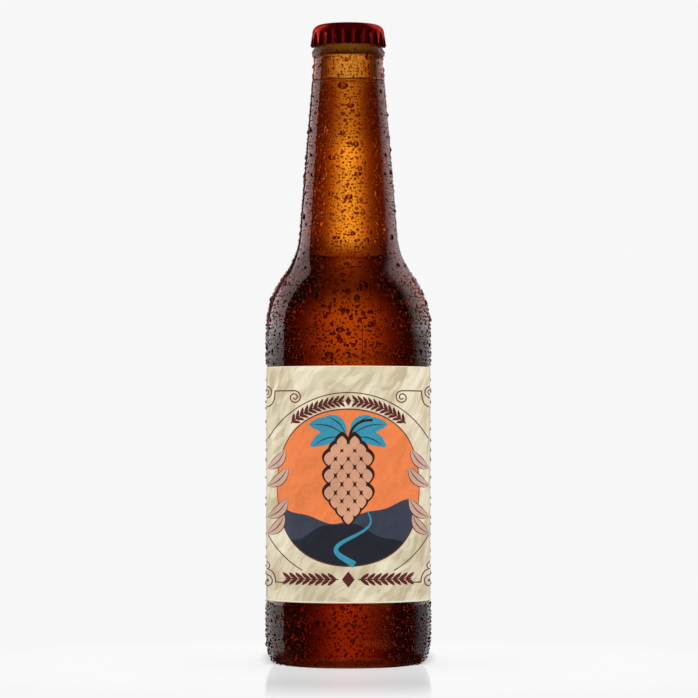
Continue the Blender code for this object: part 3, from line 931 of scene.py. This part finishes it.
studio = {
    "white": linear("f7f7f7"),
    "distance": 1290 * mm,
    "lens": 179.5,
    "horizon": 85 * mm,
    "aim": (0.26 * mm, 0, 116.7 * mm),
    # soft boxes round the bottle: azimuth from +Y towards +X, half width and soft edge,
    # then elevation, half height and soft edge, all in degrees, and strength
    "reflected": [
        (-55, 21.5, 2, 16, 28, 9, 0.75),
        (-55, 21.5, 2, 27, 24, 2, 0.55),
        (-55, 21.5, 2, 11, 8, 3, 0.55),
        (50, 8, 20, 16, 28, 9, 0.34),
        (50, 8, 20, 20, 20, 4, 0.15),
        (54, 12, 20, 27, 24, 2, 0.8),
        (-24, 9, 3, -6, 7, 4, 0.6),
        (24, 9, 3, 18, 30, 10, 0.65),
        (0, 10, 6, 4, 22, 10, 0.95),
    ],
    "through": [
        (-45, 14, 16, -25, 7, 10, 0.5),
        (135, 14, 16, -15, 6, 9, 1.0),
        (0, 12, 12, -42, 24, 14, 0.15),
        (0, 45, 20, 45, 26, 14, 0.3),
    ],
    "warm": (1.0, 0.45, 0.4),
    "rosy": (1.0, 0.77, 0.76),
    "dark": 0.012,
    "dim": (0.06, 0.035, 0.03),
    # cards behind the bottle that only the light through the glass meets: distance behind, half size,
    # and by height in mm: strength, redness and half width of the glow in mm
    "reflectors": {
        "neckReflector": {"behind": 65 * mm, "wide": 60 * mm, "floor": 0.08, "red": 0.88, "levels": [
            (129, 0.66, 0.6, 10), (133, 0.85, 0.5, 9), (138, 1.0, 0.32, 6.6), (143, 1.4, 0.1, 5.4),
            (151, 2.35, 0.0, 5.3), (157, 3.05, 0.0, 5.3), (166, 2.75, 0.0, 5.5), (174, 2.8, 0.0, 5.6),
            (182, 2.5, 0.0, 5.6), (190, 3.1, 0.0, 5.7), (198, 1.65, 0.12, 6.0), (205, 1.35, 0.2, 6.1),
            (214, 1.3, 0.2, 6.5), (218, 1.2, 0.2, 8), (222, 1.1, 0.3, 24), (232, 1.12, 0.3, 28),
            (239, 1.0, 0.45, 28), (262, 1.0, 0.5, 28)]},
        "bodyReflector": {"behind": 160 * mm, "wide": 110 * mm, "floor": 0.03, "red": 1.0, "levels": [
            (-90, 1.0, 0.5, 14), (-40, 1.2, 0.5, 14), (-1, 0.9, 0.75, 14), (12, 1.2, 0.6, 16),
            (40, 1.6, 0.5, 20), (62, 1.6, 0.4, 20), (74, 1.0, 0.3, 16), (92, 0.5, 0.4, 16),
            (98, 0.45, 0.4, 17), (104, 0.4, 0.4, 18), (109, 0.7, 0.35, 20), (114, 1.0, 0.3, 22),
            (117, 1.2, 0.3, 22), (120, 1.6, 0.3, 22), (124, 1.95, 0.3, 22), (130, 1.5, 0.3, 22),
            (150, 1.55, 0.5, 22), (215, 1.15, 0.5, 20)]},
    },
}


def cardLight(add, azimuth, elevation, card):
    # 1 inside the card, falling smoothly to 0 across its soft edge
    middle, half, soft, height, halfHeight, softHeight, strength = card
    across = softBand(add, azimuth, *np.radians((middle, half, soft)))
    up = softBand(add, elevation, *np.radians((height, halfHeight, softHeight)))
    both = add("Math", {0: across, 1: up}, operation="MULTIPLY")
    return add("Math", {0: both, 1: strength}, operation="MULTIPLY")


def boxesLight(add, azimuth, elevation, cards):
    # all the soft boxes of one list added up
    total = None
    for card in cards:
        light = cardLight(add, azimuth, elevation, card)
        total = light if total is None else add("Math", {0: total, 1: light}, operation="ADD")
    return total


def makeWorld():
    # the camera sees plain white; gloss and glass see soft boxes in the dark; paper gets even light
    world = bpy.data.worlds.new("studio")
    scene.world = world
    world.use_nodes = True
    add = nodeAdder(world.node_tree)
    way = add("TexCoord")
    parts = add("SeparateXYZ", {0: way.outputs["Generated"]})
    azimuth = add("Math", {0: parts.outputs["X"], 1: parts.outputs["Y"]}, operation="ARCTAN2")
    elevation = add("Math", {0: parts.outputs["Z"]}, operation="ARCSINE")
    reflected = boxesLight(add, azimuth, elevation, studio["reflected"])
    through = boxesLight(add, azimuth, elevation, studio["through"])
    reflected = add("Math", {0: reflected, 1: studio["dark"]}, operation="ADD")
    through = add("VectorMath", {0: through, 1: studio["warm"]}, operation="MULTIPLY")
    dim = add("VectorMath", {0: through, 1: studio["dim"]}, operation="ADD")
    path = add("LightPath")
    white = add("Background", {"Color": (*studio["white"], 1)})
    even = add("Background", {"Color": (1, 1, 1, 1)})
    # the boxes are rosier higher up
    rosy = add("MapRange", {"Value": elevation, "From Min": math.radians(4), "From Max": math.radians(10)},
               interpolation_type="SMOOTHSTEP")
    hue = add("Mix", {"Factor": rosy, "A": (1, 1, 1, 1), "B": (*studio["rosy"], 1)}, data_type="RGBA")
    gloss = add("Background", {"Color": hue.outputs["Result"], "Strength": reflected})
    glass = add("Background", {"Color": dim})
    first = add("MixShader", {0: path.outputs["Is Transmission Ray"], 1: gloss, 2: glass})
    second = add("MixShader", {0: path.outputs["Is Diffuse Ray"], 1: first, 2: even})
    final = add("MixShader", {0: path.outputs["Is Camera Ray"], 1: second, 2: white})
    add("OutputWorld", {"Surface": final})
    world.cycles.sampling_method = "NONE"


def makeCard(name, corners, material):
    # one flat face of the studio that glows without being a lamp
    mesh = bpy.data.meshes.new(name)
    mesh.from_pydata(corners, [], [(0, 1, 2, 3)])
    mesh.materials.append(material)
    material.cycles.emission_sampling = "NONE"
    card = bpy.data.objects.new(name, mesh)
    scene.collection.objects.link(card)
    return card


def makeReflector(name, card):
    # f = floor + (1 - floor) exp(-(x / width)^2), and its light is
    # strength * (red f, (1 - redness) f^1.6, (1 - redness) f^2)
    material, add = newMaterial(name + "Glow")
    place = add("TexCoord").outputs["Object"]
    parts = add("SeparateXYZ", {0: place})
    low, high = card["levels"][0][0] * mm, card["levels"][-1][0] * mm
    height = add("MapRange", {"Value": parts.outputs["Z"], "From Min": low, "From Max": high})
    # strength, redness and width share one ramp's red, green and blue
    table = np.array(card["levels"], float)
    most = np.maximum(table[:, 1:].max(axis=0), 1e-3)
    ramp = add("ValToRGB", {"Fac": height})
    fillRamp(ramp, [((row[0] * mm - low) / (high - low), row[1:] / most) for row in table])
    split = add("SeparateColor", {0: ramp.outputs["Color"]})
    strength, redness, width = [
        add("Math", {0: split.outputs[i], 1: float(scale)}, operation="MULTIPLY")
        for i, scale in enumerate(most * (1, 1, mm))]
    share = add("Math", {0: parts.outputs["X"], 1: width}, operation="DIVIDE")
    square = add("Math", {0: share, 1: share}, operation="MULTIPLY")
    fall = add("Math", {0: math.exp(-1), 1: square}, operation="POWER")
    lifted = add("MapRange", {"Value": fall, "To Min": card["floor"]})
    less = add("Math", {0: 1.0, 1: redness}, operation="SUBTRACT")
    channels = [add("Math", {0: lifted, 1: card["red"]}, operation="MULTIPLY")]
    for power in (1.6, 2.0):
        raised = add("Math", {0: lifted, 1: power}, operation="POWER")
        channels.append(add("Math", {0: raised, 1: less}, operation="MULTIPLY"))
    colour = add("CombineColor", dict(enumerate(channels)))
    glow = add("Emission", {"Color": colour, "Strength": strength})
    add("OutputMaterial", {"Surface": glow})
    w, y = card["wide"], card["behind"]
    reflector = makeCard(name, [(-w, y, low), (w, y, low), (w, y, high), (-w, y, high)], material)
    for way in ("camera", "diffuse", "glossy", "volume_scatter", "shadow"):
        setattr(reflector, "visible_" + way, False)


floorCard = {
    "half": 60.0,
    "below": 0.02 * mm,
    "diffuse": 0.2,             # share of real diffuse light, the rest glows evenly
    "sheen": (0.2, 0.35),       # near the bottle and away from it
    "sheenGrows": (30 * mm, 100 * mm),
    "sheenFades": (92 * mm, 192 * mm),
    "lifted": 0.16,             # how much brighter the card is under its sheen
    "shadow": 0.5,
    "shadowMiddle": 45 * mm,    # behind the axis
    "shadowSize": (32 * mm, 105 * mm),
    "shadowCuts": ((-9 * mm, 6 * mm), (100 * mm, 55 * mm)),     # along y, from nothing to the full shadow
}


def makeFloor():
    # white card: mostly even light of its own, so that it meets the background without a line
    material, add = newMaterial("whiteFloorCard")
    place = add("TexCoord").outputs["Object"]
    away = add("VectorMath", {0: place}, operation="LENGTH").outputs["Value"]
    # the card's sheen grows away from the bottle, then fades
    (low, high), (near, far) = floorCard["sheen"], floorCard["sheenGrows"]
    grow = add("MapRange", {"Value": away, "From Min": near, "From Max": far, "To Min": low,
                            "To Max": high})
    near, far = floorCard["sheenFades"]
    fade = add("MapRange", {"Value": away, "From Min": near, "From Max": far, "To Min": 1.0, "To Max": 0.0},
               interpolation_type="SMOOTHSTEP")
    share = add("Math", {0: grow, 1: fade}, operation="MULTIPLY")
    # as much brighter under the sheen as the sheen takes
    strength = add("Math", {0: share, 1: floorCard["lifted"], 2: 1.0}, operation="MULTIPLY_ADD")
    white = (*studio["white"], 1)
    glow = add("Emission", {"Color": white, "Strength": strength})
    card = add("BsdfDiffuse", {"Color": white})
    gloss = add("BsdfGlossy", {"Color": (1, 1, 1, 1), "Roughness": 0.1})
    base = add("MixShader", {0: floorCard["diffuse"], 1: glow, 2: card})
    sheen = add("MixShader", {0: share, 1: base, 2: gloss})
    # soft shadow that the front light casts behind the heel: an oval, cut off softly in front and behind
    oval = add("Mapping", {"Vector": place, "Location": (0, floorCard["shadowMiddle"], 0),
                           "Scale": (*floorCard["shadowSize"], 1)}, vector_type="TEXTURE")
    oval = add("VectorMath", {0: oval}, operation="LENGTH").outputs["Value"]
    shade = add("MapRange", {"Value": oval, "From Min": 0.85, "From Max": 1.09,
                             "To Min": floorCard["shadow"], "To Max": 0.0}, interpolation_type="SMOOTHSTEP")
    parts = add("SeparateXYZ", {0: place})
    for none, full in floorCard["shadowCuts"]:
        cut = add("MapRange", {"Value": parts.outputs["Y"], "From Min": min(none, full),
                               "From Max": max(none, full), "To Min": float(none > full),
                               "To Max": float(none < full)}, interpolation_type="SMOOTHSTEP")
        shade = add("Math", {0: shade, 1: cut}, operation="MULTIPLY")
    dark = add("Emission", {"Strength": 0.0})
    both = add("MixShader", {0: shade, 1: sheen, 2: dark})
    add("OutputMaterial", {"Surface": both})
    half = floorCard["half"]
    floor = makeCard("floor", [(-half, -half, 0), (half, -half, 0), (half, half, 0), (-half, half, 0)],
                     material)
    floor.location.z = -floorCard["below"]
    floor.visible_glossy = False
    floor.visible_transmission = False


def makeCamera():
    camera = bpy.data.objects.new("camera", bpy.data.cameras.new("camera"))
    scene.collection.objects.link(camera)
    camera.data.sensor_width = 36
    camera.data.lens = studio["lens"]
    camera.data.clip_end = 100
    camera.location = (0, -studio["distance"], studio["horizon"])
    aim = np.array(studio["aim"]) - np.array(camera.location)
    pitch = math.atan2(aim[2], math.hypot(aim[0], aim[1]))
    camera.rotation_euler = (math.pi / 2 + pitch, 0, -math.atan2(aim[0], aim[1]))
    scene.camera = camera


def setLight():
    scene.view_settings.view_transform = "Standard"
    scene.cycles.max_bounces = 32
    scene.cycles.transmission_bounces = 28
    scene.cycles.glossy_bounces = 12
    scene.cycles.caustics_reflective = False
    scene.cycles.caustics_refractive = False
    scene.cycles.sample_clamp_indirect = 4.0


makeBottle(bottleGlass())
makeBeer(beerLiquid())
makeDrops(waterDrop())
makeCap(redLacquer())
makeLabel(labelPaper())
makeCamera()
makeWorld()
makeFloor()
for name, card in studio["reflectors"].items():
    makeReflector(name, card)
setLight()
